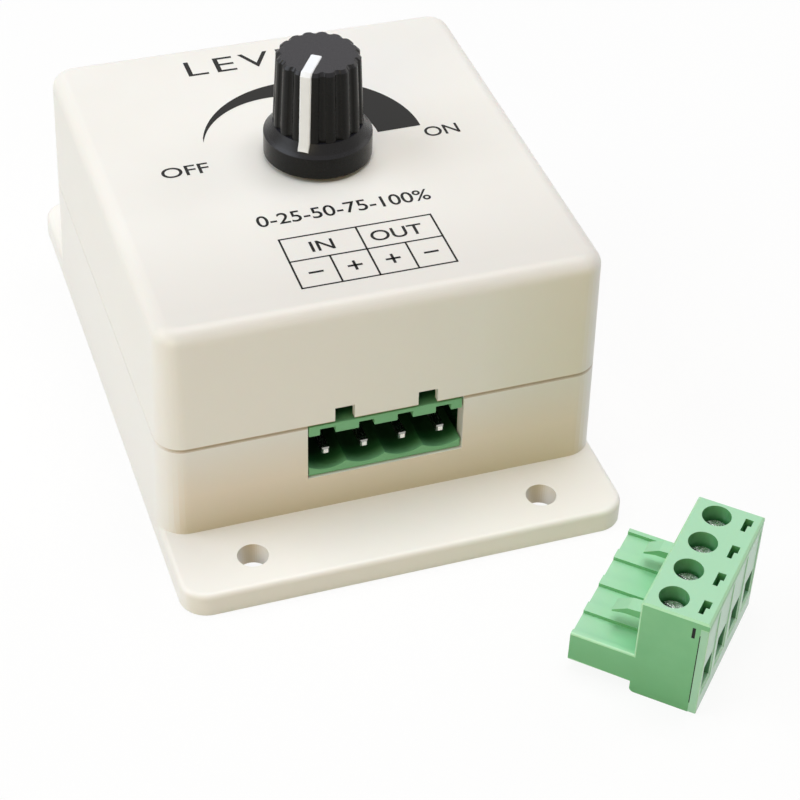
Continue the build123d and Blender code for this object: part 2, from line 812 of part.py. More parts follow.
leg_run = (chip_row_spacing + chip_leg_width - chip_width) / 2
leg_middle = (chip_width + leg_run) / 2
with BuildPart() as chip_legs:
    with BuildSketch(Plane.XY.offset(chip_level)):
        with Locations(*[(chip_place[0] + side * leg_middle, y) for side in (-1, 1) for y in chip_rows]):
            Rectangle(leg_run, chip_leg_width)
    extrude(amount=chip_leg_thickness)
    with BuildSketch(Plane.XY.offset(board_top)):
        with Locations(*chip_feet):
            Rectangle(chip_leg_width, chip_leg_width)
    extrude(amount=chip_level - board_top)
finish(chip_legs, "chip_legs")

# Chip resistors: two beside the control chip and two behind the potentiometer
rear_resistors = [(shaft_x, board_back - row) for row in resistor_rows[:2]]
side_resistors = [(chip_place[0], board_back - row) for row in resistor_rows[1:]]
with BuildPart() as resistors:
    with BuildSketch(Plane.XY.offset(board_top)):
        with Locations(*rear_resistors, *side_resistors):
            Rectangle(resistor_length, resistor_width)
    extrude(amount=resistor_height)
finish(resistors, "resistors")

# Flywheel diode behind the transistor
with BuildPart() as flywheel_diode:
    with BuildSketch(Plane.XY.offset(board_top)):
        with Locations((diode_inset - board_edge, board_back - diode_from_back)):
            Rectangle(diode_length, diode_width)
    extrude(amount=diode_height)
    chamfer(flywheel_diode.faces().sort_by(Axis.Z)[-1].edges(), diode_edge)
finish(flywheel_diode, "flywheel_diode")

# Ceramic chip capacitors between the socket and the potentiometer
ceramic_row = (pin_drop + shaft_y - wafer_tongue_reach) / 2
with BuildPart() as ceramic_capacitors:
    with BuildSketch(Plane.XY.offset(board_top)):
        with Locations((shaft_x, ceramic_row), (transistor_x, ceramic_row)):
            Rectangle(ceramic_length, ceramic_width)
    extrude(amount=ceramic_height)
finish(ceramic_capacitors, "ceramic_capacitors")

# Plug housing: tall clamp half, low mating half, wells, chambers, lugs and latch windows
contact_top = contact_height + contact_socket_height / 2
bar_top = contact_top + contact_socket_height / 2
bar_bottom = bar_top - contact_bar_thickness
with BuildPart(plug_plane) as plug_housing:
    with BuildSketch(plug_side) as clamp_half:
        with BuildLine():
            Polyline(
                (0, 0),
                (ledge_back, 0),
                (ledge_back, plug_height - plug_top_thickness),
                (plug_depth, plug_height - plug_top_thickness),
                (plug_depth, plug_height),
                (0, plug_height),
                close=True,
            )
        make_face()
        fillet(clamp_half.vertices().sort_by_distance((0, 0))[0], plug_toe_radius)
    extrude(amount=half_plug, both=True)
    chamfer(plug_housing.faces().sort_by(Axis.Z)[-1].edges(), plug_edge)
    with BuildSketch(plug_section(-mating_length)):
        with BuildLine():
            for y in pole_offsets:
                ThreePointArc(
                    (y - pitch / 2, mating_bottom + scallop_height),
                    (y, mating_bottom),
                    (y + pitch / 2, mating_bottom + scallop_height),
                )
            step_points = [(half_plug, mating_bottom + scallop_height), (half_plug, mating_top)]
            for y in reversed(pole_offsets):
                bay = pitch / 2 - mating_ridge_width / 2
                step_points.append((y + bay, mating_top))
                step_points.append((y + bay, mating_top - mating_step))
                step_points.append((y - bay, mating_top - mating_step))
                step_points.append((y - bay, mating_top))
            step_points.append((-half_plug, mating_top))
            step_points.append((-half_plug, mating_bottom + scallop_height))
            Polyline(*step_points)
        make_face()
    extrude(amount=mating_length)
    with BuildSketch(plug_side.offset(-lug_spacing / 2), plug_side.offset(lug_spacing / 2)):
        with BuildLine():
            Polyline(
                (0, lug_level + lug_arch),
                (0, lug_level + lug_root_height),
                (-lug_shoulder, lug_level + lug_height),
                (-lug_length, lug_level + lug_tip_thickness),
                (-lug_length, lug_level),
                (lug_nose - lug_length, lug_level + lug_arch),
                close=True,
            )
        make_face()
    extrude(amount=lug_width / 2, both=True)
    with Locations(*[(screw_offset, y, well_floor) for y in pole_offsets]):
        Cylinder(
            well_diameter / 2,
            plug_height - well_floor,
            align=(Align.CENTER, Align.CENTER, Align.MIN),
            mode=Mode.SUBTRACT,
        )
    with Locations(*[(screw_offset, y, chamber_top) for y in pole_offsets]):
        Cylinder(
            clamp_screw_diameter / 2 + thread_clearance,
            well_floor - chamber_top,
            align=(Align.CENTER, Align.CENTER, Align.MIN),
            mode=Mode.SUBTRACT,
        )
    with Locations(*[(chamber_front, y, chamber_floor) for y in pole_offsets]):
        Box(
            ledge_back - chamber_front,
            chamber_width,
            chamber_top - chamber_floor,
            align=(Align.MIN, Align.CENTER, Align.MIN),
            mode=Mode.SUBTRACT,
        )
    with Locations(*[(-mating_length + cage_wall, y, bar_top + contact_clearance) for y in pole_offsets]):
        Box(
            mating_length - cage_wall + chamber_front,
            contact_width + 2 * contact_clearance,
            bar_top - contact_height + contact_socket_height / 2 + 2 * contact_clearance,
            align=(Align.MIN, Align.CENTER, Align.MAX),
            mode=Mode.SUBTRACT,
        )
    with Locations(*[(-mating_length, y, contact_height) for y in pole_offsets]):
        Box(
            cage_wall,
            pin_width + 4 * contact_clearance,
            pin_width + 4 * contact_clearance,
            align=(Align.MIN, Align.CENTER, Align.CENTER),
            mode=Mode.SUBTRACT,
        )
    window_start = ledge_back - window_wide
    with Locations(*[(window_start, y, plug_height) for y in pole_offsets]):
        Box(
            window_wide,
            window_length / 2,
            2 * window_depth,
            align=(Align.MIN, Align.MIN, Align.CENTER),
            mode=Mode.SUBTRACT,
        )
        Box(
            window_narrow,
            window_length / 2,
            2 * window_depth,
            align=(Align.MIN, Align.MAX, Align.CENTER),
            mode=Mode.SUBTRACT,
        )
    latch_level = plug_height - 2 * plug_top_thickness
    latch_reach = ledge_back - 2 * latch_slot_width
    with Locations((latch_reach, half_plug, latch_level), (latch_reach, -half_plug, latch_level)):
        Box(latch_slot_width, 2 * latch_slot_depth, latch_slot_height, mode=Mode.SUBTRACT)
finish(plug_housing, "plug_housing")

# Wire-entry face: recessed panels between ribs, a wire hole in each
with BuildPart(plug_plane) as plug_wire_face:
    with Locations((ledge_back, 0, 0)):
        Box(
            wire_face_thickness,
            plug_width,
            plug_height - plug_top_thickness,
            align=(Align.MIN, Align.CENTER, Align.MIN),
        )
    with Locations(*[(plug_depth, y, panel_floor) for y in pole_offsets]):
        Box(
            2 * panel_depth,
            panel_width,
            panel_top - panel_floor,
            align=(Align.CENTER, Align.CENTER, Align.MIN),
            mode=Mode.SUBTRACT,
        )
    with Locations(*[(ledge_back, y, wire_hole_floor) for y in pole_offsets]):
        Box(
            wire_face_thickness,
            wire_hole_width,
            wire_hole_height,
            align=(Align.MIN, Align.CENTER, Align.MIN),
            mode=Mode.SUBTRACT,
        )
finish(plug_wire_face, "plug_wire_face")

# Contacts: a socket for the pin, a web, and a bar that reaches through the clamp cage
bar_end = screw_offset + cage_length / 2 + contact_clearance
with BuildPart(plug_plane) as plug_contacts:
    for y in pole_offsets:
        with BuildSketch(plug_side.offset(-y)):
            with BuildLine():
                Polyline(
                    (-mating_length + 2 * cage_wall, contact_height - contact_socket_height / 2),
                    (0, contact_height - contact_socket_height / 2),
                    (0, bar_bottom),
                    (bar_end, bar_bottom),
                    (bar_end, bar_top),
                    (-contact_bar_thickness, bar_top),
                    (-contact_bar_thickness, contact_top),
                    (-mating_length + 2 * cage_wall, contact_top),
                    close=True,
                )
            make_face()
        extrude(amount=contact_width / 2, both=True)
    with Locations(*[(-mating_length + 2 * cage_wall, y, contact_height) for y in pole_offsets]):
        Box(
            mating_length - 2 * cage_wall - 2 * contact_bar_thickness,
            pin_width + 2 * pin_clearance,
            pin_width + 2 * pin_clearance,
            align=(Align.MIN, Align.CENTER, Align.CENTER),
            mode=Mode.SUBTRACT,
        )
finish(plug_contacts, "plug_contacts")

# Clamp screws and rising cages, one pair for each pole
screw_seat = well_floor + clamp_screw_gap
screw_tip = bar_top + contact_clearance
cage_inner_top = bar_top + contact_clearance
cage_bottom = cage_inner_top - cage_opening - cage_wall
for n, y in enumerate(pole_offsets, start=1):
    with BuildPart(plug_plane) as plug_screw:
        with Locations((screw_offset, y, screw_seat)):
            Cylinder(
                well_diameter / 2 - well_clearance,
                clamp_screw_head_height,
                align=(Align.CENTER, Align.CENTER, Align.MIN),
            )
        chamfer(plug_screw.faces().sort_by(Axis.Z)[-1].edges(), clamp_screw_edge)
        with Locations((screw_offset, y, screw_seat)):
            Cylinder(
                clamp_screw_diameter / 2,
                screw_seat - screw_tip,
                align=(Align.CENTER, Align.CENTER, Align.MAX),
            )
        head_top = (screw_offset, y, screw_seat + clamp_screw_head_height)
        with Locations(Location(head_top, (0, 0, clamp_slot_angle))):
            Box(clamp_slot_width, well_diameter, 2 * clamp_slot_depth, mode=Mode.SUBTRACT)
    finish(plug_screw, f"plug_screw_{n}")

    with BuildPart(plug_plane) as plug_clamp:
        with Locations((screw_offset, y, cage_bottom)):
            Box(
                cage_length,
                chamber_width - 2 * cage_clearance,
                cage_wall + cage_opening + cage_top_thickness,
                align=(Align.CENTER, Align.CENTER, Align.MIN),
            )
        with Locations((screw_offset, y, cage_bottom + cage_wall)):
            Box(
                cage_length,
                chamber_width - 2 * cage_clearance - 2 * cage_wall,
                cage_opening,
                align=(Align.CENTER, Align.CENTER, Align.MIN),
                mode=Mode.SUBTRACT,
            )
        with Locations((screw_offset, y, cage_inner_top)):
            Cylinder(
                clamp_screw_diameter / 2 + thread_clearance,
                cage_top_thickness,
                align=(Align.CENTER, Align.CENTER, Align.MIN),
                mode=Mode.SUBTRACT,
            )
    finish(plug_clamp, f"plug_clamp_{n}")
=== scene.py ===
import json
from math import cos, radians, sin

import bmesh
import bpy
from mathutils import Matrix, Vector


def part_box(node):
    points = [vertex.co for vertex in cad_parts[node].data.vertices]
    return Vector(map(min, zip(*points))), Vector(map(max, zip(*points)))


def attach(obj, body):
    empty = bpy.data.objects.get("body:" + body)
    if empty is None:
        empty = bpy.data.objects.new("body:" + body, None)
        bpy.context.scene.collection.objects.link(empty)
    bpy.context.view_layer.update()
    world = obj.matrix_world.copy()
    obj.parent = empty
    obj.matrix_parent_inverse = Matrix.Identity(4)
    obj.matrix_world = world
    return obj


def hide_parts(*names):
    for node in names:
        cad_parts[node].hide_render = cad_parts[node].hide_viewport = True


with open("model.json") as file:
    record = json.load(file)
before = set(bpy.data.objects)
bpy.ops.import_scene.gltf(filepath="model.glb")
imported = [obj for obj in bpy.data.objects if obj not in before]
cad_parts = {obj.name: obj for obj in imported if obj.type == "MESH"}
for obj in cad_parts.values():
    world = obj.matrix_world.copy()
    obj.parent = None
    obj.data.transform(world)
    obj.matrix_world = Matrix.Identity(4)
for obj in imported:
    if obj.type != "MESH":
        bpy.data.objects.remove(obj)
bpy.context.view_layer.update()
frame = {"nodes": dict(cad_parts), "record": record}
mm = 0.001
alongX, alongY, alongZ = 0, 1, 2
print("frame loaded:", len(frame["nodes"]), "nodes")


class Sock:
    # one socket of a node tree; arithmetic on it adds Math nodes
    def __init__(self, tree, socket=None):
        self.tree = tree
        self.socket = socket

    def make(self, kind, settings=None, inputs=None, output=0):
        node = self.tree.nodes.new(kind)
        for name, value in (settings or {}).items():
            if name == "stops":
                ramp = node.color_ramp
                while len(ramp.elements) < len(value):
                    ramp.elements.new(1.0)
                for element, (place, colour) in zip(ramp.elements, value):
                    element.position = place
                    element.color = (*colour, 1.0)
            else:
                setattr(node, name, value)
        for name, value in (inputs or {}).items():
            if isinstance(value, Sock):
                self.tree.links.new(value.socket, node.inputs[name])
            else:
                node.inputs[name].default_value = value
        return Sock(self.tree, node.outputs[output])

    def reckon(self, operation, first, second):
        return self.make("ShaderNodeMath", {"operation": operation}, {0: first, 1: second})

    def __add__(self, other):
        return self.reckon("ADD", self, other)

    def __radd__(self, other):
        return self.reckon("ADD", other, self)

    def __sub__(self, other):
        return self.reckon("SUBTRACT", self, other)

    def __rsub__(self, other):
        return self.reckon("SUBTRACT", other, self)

    def __mul__(self, other):
        return self.reckon("MULTIPLY", self, other)

    def __rmul__(self, other):
        return self.reckon("MULTIPLY", other, self)

    def part(self, axis):
        return self.make("ShaderNodeSeparateXYZ", None, {0: self}, output=axis)

    def blend(self, colour, share):
        return self.make("ShaderNodeMix", {"data_type": "RGBA"}, {0: share, 6: self, 7: (*colour, 1.0)}, output=2)

    def ramp(self, *stops):
        return self.make("ShaderNodeValToRGB", {"stops": stops}, {"Fac": self})

    def span(self, low, high, start, end):
        values = {"Value": self, "From Min": low, "From Max": high, "To Min": start, "To Max": end}
        return self.make("ShaderNodeMapRange", {"clamp": True}, values)


def newFinish(name, look):
    finish = bpy.data.materials.new(name)
    finish.use_nodes = True
    tree = finish.node_tree
    shader = tree.nodes["Principled BSDF"]
    shader.inputs["Coat Weight"].default_value = look.get("coat", 0.0)
    shader.inputs["Coat Roughness"].default_value = look.get("coatRoughness", 0.15)
    shader.inputs["Specular IOR Level"].default_value = look.get("specular", 0.5)
    shader.inputs["Subsurface Weight"].default_value = look.get("subsurface", 0.0)
    if "radius" in look:
        shader.inputs["Subsurface Scale"].default_value = look["radius"]
    start = Sock(tree)
    return finish, start, start.make("ShaderNodeTexCoord", output="Object"), shader


def feed(shader, name, value):
    value.tree.links.new(value.socket, shader.inputs[name])


def noise(start, place, scale, detail=3.0, rough=0.55):
    values = {"Vector": place, "Scale": scale, "Detail": detail, "Roughness": rough}
    return start.make("ShaderNodeTexNoise", {"noise_dimensions": "3D"}, values)


def bump(start, shader, height, depth):
    relief = start.make("ShaderNodeBump", None, {"Height": height, "Distance": depth, "Strength": 1.0})
    feed(shader, "Normal", relief)


def painted(start, name):  # a value that dress leaves on the faces
    return start.make("ShaderNodeAttribute", {"attribute_name": name}, output="Fac")


noiseRange = (0.3, 0.7)  # nearly all of the noise lies between these
grainDetail = 2.0
plasticGloss = (0.5, 0.5)  # shares of cloud and grain in the roughness
metalGloss = (0.4, 0.6)  # shares of cloud and lines


def mottle(cloud, look):
    return cloud.ramp((noiseRange[0], look["dark"]), (noiseRange[1], look["light"]))


def gloss(cloud, fine, shares, look):
    return (fine * shares[1] + cloud * shares[0]).span(*noiseRange, *look["sheen"])


# moulded plastic: slow drift of tone, finer clouds in the gloss, and a fine grain; looks may add painted light and
# shade by place and by facing
def plasticFinish(name, look):
    finish, start, place, shader = newFinish(name, look)
    cloud = noise(start, place, look["cloud"])
    grain = noise(start, place, look["grain"], grainDetail)
    tone = mottle(cloud, look)
    for axis, near, far, shares, shade, facing in look.get("shades", ()):  # another tone by place along an axis: painted light and shade
        share = place.part(axis).span(near * mm, far * mm, *shares)
        if facing:  # only on the faces that carry this attribute
            share = share * painted(start, facing)
        tone = tone.blend(shade, share)
    if "upward" in look:  # painted light: faces that look up get a paler tone, and a coat of their own
        up = painted(start, "upward")
        tone = tone.blend(look["upward"], up)
        if look["upwardCoat"]:
            feed(shader, "Coat Weight", up * look["upwardCoat"] + look.get("coat", 0.0))
    for patch in ("bay", "rim"):  # painted shade on the plug's low steps, and a painted highlight on its edges
        if patch in look:
            tone = tone.blend(look[patch], painted(start, patch))
    feed(shader, "Base Color", tone)
    feed(shader, "Roughness", gloss(cloud, grain, plasticGloss, look))
    bump(start, shader, grain, look["relief"])
    return finish


# levels in mm, then the looks; a shade is axis, from, to, share at each, tone, and the faces that have it
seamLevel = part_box("cover_shell")[0].z / mm
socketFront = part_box("terminal_header")[0].y / mm
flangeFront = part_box("base_shell")[0].y / mm
flangeTop = 3.2
# level of the middle tone in the painted shade on the base's front wall
wallMiddle = 9.4
# painted shadow: a dark brown band where the seam's groove lies in shade
seamShadow = (0.385, 0.238, 0.084)
# painted shade: front faces darker and yellower towards the right end
endShade = (0.75, 0.67, 0.46)
creamLook = {"light": (0.872, 0.85, 0.806), "dark": (0.854, 0.828, 0.778), "cloud": 60.0, "grain": 9000.0,
             "sheen": (0.34, 0.46), "relief": 0.000006, "specular": 0.45, "subsurface": 0.06, "radius": 0.0015,
             # painted shade: the lid's top darker towards its front edge
             "shades": [(alongY, -8.0, -27.0, (0.0, 1.0), (0.757, 0.728, 0.684), "upward"),
                        # painted light: faces turned to the front get a lighter, warmer tone
                        (alongZ, 0.0, 40.0, (1.0, 1.0), (0.905, 0.876, 0.822), "frontward"),
                        # painted shade: front faces darker and yellower towards the right end
                        (alongX, 12.0, 28.0, (0.0, 0.55), endShade, "frontward"),
                        # painted shadow along the seam's groove, full on faces turned to the front and faint elsewhere
                        (alongZ, seamLevel + 0.1, seamLevel + 0.28, (0.3, 0.0), seamShadow, ""),
                        (alongZ, seamLevel + 0.1, seamLevel + 0.28, (1.0, 0.0), seamShadow, "ahead")]}
baseLook = {**creamLook, "light": (0.872, 0.852, 0.818), "dark": (0.856, 0.834, 0.793),
            # painted light: faces that look up, such as the flange's top, get a paler tone
            "upward": (0.895, 0.873, 0.828), "upwardCoat": 0.0,
            # painted shade: the base's front wall darker and warmer downwards
            "shades": [(alongZ, seamLevel, wallMiddle, (0.0, 1.0), (0.85, 0.752, 0.633), "frontward"),
                       (alongZ, wallMiddle, flangeTop, (0.0, 1.0), (0.675, 0.59, 0.44), "frontward"),
                       # painted shade: front faces darker and yellower towards the right end
                       (alongX, 12.0, 28.0, (0.0, 0.35), endShade, "frontward"),
                       # painted shade: the flange's front edge darker
                       (alongY, flangeFront + 1.0, flangeFront + 2.0, (1.0, 0.0), (0.8, 0.77, 0.7), ""),
                       # painted shadow along the seam's groove, full on faces turned to the front and faint elsewhere
                       (alongZ, seamLevel - 0.04, seamLevel - 0.18, (0.3, 0.0), seamShadow, ""),
                       (alongZ, seamLevel - 0.1, seamLevel - 0.34, (1.0, 0.0), seamShadow, "ahead")]}
knobLook = {"light": (0.005, 0.005, 0.0045), "dark": (0.0035, 0.0035, 0.003), "cloud": 300.0, "grain": 14000.0,
            # painted light: faces that look up are paler and bluer
            "sheen": (0.22, 0.32), "relief": 0.000006, "specular": 0.2, "upward": (0.012, 0.012, 0.018),
            "upwardCoat": 0.3, "coatRoughness": 0.4}
pointerLook = {"light": (0.9, 0.915, 0.945), "dark": (0.87, 0.885, 0.915), "cloud": 500.0, "grain": 15000.0,
               "sheen": (0.35, 0.5), "relief": 0.000006}
greenLook = {"light": (0.2, 0.525, 0.255), "dark": (0.17, 0.48, 0.22), "cloud": 220.0, "grain": 12000.0,
             "sheen": (0.3, 0.45), "relief": 0.000006, "specular": 0.5, "subsurface": 0.08, "radius": 0.001,
             # painted light: faces that look up get a paler green
             "upward": (0.345, 0.65, 0.415), "upwardCoat": 0.9, "coatRoughness": 0.35,
             # painted highlight on the rounded and chamfered edges; painted shade on the mating half's steps
             "rim": (0.39, 0.71, 0.43), "bay": (0.225, 0.612, 0.303),
             # painted shade: darker towards the bottom
             "shades": [(alongZ, 0.0, 9.0, (0.8, 0.0), (0.115, 0.38, 0.145), ""),
                        # painted shade on the walls of the wells, slots and wire entries, deeper downwards
                        (alongZ, 15.0, 12.4, (0.25, 1.0), (0.045, 0.3, 0.075), "hollow"),
                        (alongZ, 13.6, 12.2, (0.0, 0.7), (0.02, 0.14, 0.04), "hollow")]}
# painted reflection: the wire face is a paler copy of the plug's green, standing in for its sheen
wireFaceLook = {**greenLook, "light": (0.35, 0.645, 0.435), "dark": (0.32, 0.6, 0.4), "upwardCoat": 0.5,
                "coat": 0.5, "coatRoughness": 0.25,
                # painted shade in the wire entries
                "shades": [(alongZ, 0.0, 14.0, (0.9, 0.9), (0.07, 0.27, 0.11), "hollow")]}
socketLook = {"light": (0.21, 0.51, 0.26), "dark": (0.185, 0.465, 0.23), "cloud": 220.0, "grain": 12000.0,
              "sheen": (0.3, 0.45), "relief": 0.000006, "specular": 0.3,
              # painted shade: the socket darkens to near black inwards from its front
              "shades": [(alongY, socketFront + 0.2, socketFront + 1.9, (0.0, 1.0), (0.035, 0.19, 0.065), ""),
                         (alongY, socketFront + 1.2, socketFront + 3.4, (0.0, 0.97), (0.014, 0.05, 0.019), "")]}
inkAndShadowLook = {"light": (0.01, 0.01, 0.0105), "dark": (0.007, 0.007, 0.0072), "cloud": 500.0, "grain": 16000.0,
           "sheen": (0.4, 0.55), "relief": 0.000003, "specular": 0.2}


# bare metal: fine lines along one axis and soft tarnish
def metalFinish(name, look):
    finish, start, place, shader = newFinish(name, look)
    shader.inputs["Metallic"].default_value = 1.0
    stretched = start.make("ShaderNodeMapping", None, {"Vector": place, "Scale": look["lines"]})
    lines = noise(start, stretched, look["grain"], grainDetail)
    cloud = noise(start, place, look["cloud"])
    tone = mottle(cloud, look)
    if "shadedSides" in look:  # painted shade: bright on the cut end, darkened behind it
        tone = tone.blend(look["shadedSides"], 1 - painted(start, "frontward"))
    feed(shader, "Base Color", tone)
    feed(shader, "Roughness", gloss(cloud, lines, metalGloss, look))
    bump(start, shader, lines, look["relief"])
    return finish


pinLook = {"light": (0.86, 0.86, 0.84), "dark": (0.74, 0.74, 0.72), "cloud": 900.0, "grain": 6000.0,
           "lines": (1.0, 0.1, 1.0), "sheen": (0.18, 0.34), "relief": 0.000002}
# painted shade on the pins behind their bright ends
endLook = {**pinLook, "shadedSides": (0.32, 0.33, 0.32)}
screwLook = {"light": (0.74, 0.75, 0.77), "dark": (0.58, 0.59, 0.61), "cloud": 900.0, "grain": 9000.0,
             "lines": (1.0, 1.0, 0.15), "sheen": (0.24, 0.42), "relief": 0.000004}
slottedLook = {"light": (0.86, 0.87, 0.88), "dark": (0.42, 0.43, 0.43), "cloud": 1900.0, "grain": 6000.0,
               "lines": (1.0, 1.0, 0.15), "sheen": (0.16, 0.36), "relief": 0.00003}
nickelLook = {"light": (0.72, 0.7, 0.66), "dark": (0.58, 0.56, 0.52), "cloud": 700.0, "grain": 8000.0,
              "lines": (1.0, 1.0, 0.2), "sheen": (0.28, 0.45), "relief": 0.000003}
brassLook = {"light": (0.72, 0.56, 0.27), "dark": (0.6, 0.45, 0.2), "cloud": 600.0, "grain": 8000.0,
             "lines": (1.0, 1.0, 0.1), "sheen": (0.22, 0.4), "relief": 0.000003}
shaftLook = {"light": (0.8, 0.81, 0.82), "dark": (0.68, 0.69, 0.7), "cloud": 500.0, "grain": 9000.0,
             "lines": (0.1, 0.1, 1.0), "sheen": (0.2, 0.36), "relief": 0.000003}
boardLook = {"light": (0.03, 0.2, 0.07), "dark": (0.02, 0.15, 0.05), "cloud": 400.0, "grain": 5000.0,
             "sheen": (0.2, 0.35), "relief": 0.00001}
phenolicLook = {"light": (0.3, 0.14, 0.05), "dark": (0.2, 0.09, 0.03), "cloud": 700.0, "grain": 7000.0,
                "sheen": (0.4, 0.6), "relief": 0.000008}
carbonLook = {"light": (0.03, 0.03, 0.03), "dark": (0.015, 0.015, 0.015), "cloud": 900.0, "grain": 9000.0,
              "sheen": (0.45, 0.65), "relief": 0.000006}
carrierLook = {"light": (0.7, 0.67, 0.58), "dark": (0.6, 0.57, 0.48), "cloud": 500.0, "grain": 9000.0,
               "sheen": (0.4, 0.55), "relief": 0.000006}
epoxyLook = {"light": (0.03, 0.03, 0.032), "dark": (0.018, 0.018, 0.02), "cloud": 600.0, "grain": 9000.0,
             "sheen": (0.4, 0.6), "relief": 0.000012}
sleeveLook = {"light": (0.02, 0.025, 0.08), "dark": (0.012, 0.016, 0.055), "cloud": 400.0, "grain": 8000.0,
              "sheen": (0.2, 0.35), "relief": 0.000004}
resistorLook = {"light": (0.06, 0.06, 0.065), "dark": (0.04, 0.04, 0.044), "cloud": 600.0, "grain": 8000.0,
                "sheen": (0.2, 0.35), "relief": 0.000004}
ceramicLook = {"light": (0.55, 0.42, 0.28), "dark": (0.48, 0.36, 0.23), "cloud": 600.0, "grain": 8000.0,
               "sheen": (0.2, 0.35), "relief": 0.000006}

finishes = {
    "case_cream": plasticFinish("creamShell", creamLook),
    "knob_black": plasticFinish("blackKnob", knobLook),
    "pointer_white": plasticFinish("whitePointer", pointerLook),
    "terminal_green": plasticFinish("greenTerminal", greenLook),
    "pin_tin": metalFinish("tinnedPin", pinLook),
    "screw_steel": metalFinish("zincScrew", screwLook),
    "clamp_nickel": metalFinish("nickelClamp", nickelLook),
    "board_laminate": plasticFinish("boardLaminate", boardLook),
    "wafer_phenolic": plasticFinish("phenolicWafer", phenolicLook),
    "track_carbon": plasticFinish("carbonTrack", carbonLook),
    "can_tinplate": metalFinish("tinplateCan", nickelLook),
    "bushing_brass": metalFinish("brassBushing", brassLook),
    "shaft_aluminium": metalFinish("turnedShaft", shaftLook),
    "wiper_plastic": plasticFinish("wiperCarrier", carrierLook),
    "epoxy_black": plasticFinish("blackEpoxy", epoxyLook),
    "capacitor_sleeve": plasticFinish("capacitorSleeve", sleeveLook),
    "resistor_lacquer": plasticFinish("resistorLacquer", resistorLook),
    "ceramic_lacquer": plasticFinish("ceramicLacquer", ceramicLook),
}
# one dark finish for the print on the lid and the painted shadow strips on the plug
inkAndShadow = plasticFinish("inkAndShadowFilm", inkAndShadowLook)
clampScrews = [f"plug_screw_{n}" for n in (1, 2, 3, 4)]
ownFinish = dict.fromkeys(clampScrews, metalFinish("slottedScrew", slottedLook))  # in place of the slot's finish
ownFinish.update({
    "terminal_header": plasticFinish("greenSocket", socketLook),
    "base_shell": plasticFinish("creamBase", baseLook),
    "plug_wire_face": plasticFinish("greenWireFace", wireFaceLook),
    "header_pins": metalFinish("socketPin", endLook),
})
print("finishes made:", len(finishes) + len(set(ownFinish.values())) + 1)

nodeBody = {node: body for body, nodes in frame["record"]["behaviour"]["bodies"].items() for node in nodes}
nodeSlot = {part["node"]: part["material_slot"] for part in frame["record"]["subparts"]}

# rounding of edges on the pieces in view, and the shortest edge that gets it, in mm
softened = dict.fromkeys(clampScrews, (0.06, 0.18))
softened.update({
    "base_shell": (0.1, 0.3), "cover_shell": (0.1, 0.3), "knob": (0.0, 0.0), "knob_pointer": (0.2, 0.6),
    "terminal_header": (0.1, 0.3), "header_pins": (0.0, 0.0), "plug_housing": (0.24, 7.0),
    "plug_wire_face": (0.16, 0.5),
})
# angles in degrees; limits of a normal's part for chamfers, walls of hollows and steps; powers narrow a facing
dressLook = {"weld": 0.001, "flat": 0.3, "hard": 50.0, "smooth": 32.0, "segments": 3, "chamfer": (0.6, 0.8),
             "wall": 0.5, "stepTop": 0.7, "upPower": 2, "frontPower": 8, "bearingPower": 2, "leastLevel": 0.2}
# the plug's own frame and, in it, its seam, the reach of its ribs and steps, the hollows' box and the fade of the
# painted shade on its bay
plugLook = {"place": (25.3, -62.5, 0.0), "turn": -43.6, "seam": 7.4, "ribs": 10.0, "step": 7.0, "close": 0.01,
            "inside": ((0.3, -10.0, 0.3), (8.2, 10.0, 14.9)), "bay": (-8.0, -4.5)}
plugPlace = Matrix.Translation(Vector(plugLook["place"]) * mm)
plugPlace = plugPlace @ Matrix.Rotation(radians(plugLook["turn"]), 4, "Z")
fromPlug = plugPlace.inverted()


def staysSharp(edge):  # where the plug's wire face lies against its housing, and the ribs of its mating half
    spots = [fromPlug @ vert.co / mm for vert in edge.verts]
    close = plugLook["close"]
    onSeam = all(abs(spot.x - plugLook["seam"]) < close for spot in spots)
    onRibs = all(spot.x < close and abs(spot.y) < plugLook["ribs"] and spot.z < plugLook["step"] for spot in spots)
    return onSeam or onRibs


def isHollow(face, node):  # walls of the plug's wells, slots and wire entries, which get painted shade
    spot = fromPlug @ face.calc_center_median() / mm
    low, high = plugLook["inside"]
    within = all(low[axis] < spot[axis] < high[axis] for axis in (alongX, alongY, alongZ))
    turned = fromPlug.to_3x3() @ face.normal
    return within and abs(turned.x if node == "plug_wire_face" else turned.z) < dressLook["wall"]


def shadeBay(face, bay):  # painted shade on the mating half's steps, from their ends to the clamp half
    start, end = plugLook["bay"]
    for loop in face.loops:
        reach = (fromPlug @ loop.vert.co).x / mm
        loop[bay] = min(1.0, max(0.0, (reach - start) / (end - start)))


def isHard(edge, shortest):
    longEnough = edge.calc_length() > shortest * mm
    return edge.is_convex and longEnough and edge.calc_face_angle() > radians(dressLook["hard"])


def isStep(face):  # tops of the mating half's steps
    return face.normal.z > dressLook["stepTop"] and face.calc_center_median().z < plugLook["step"] * mm
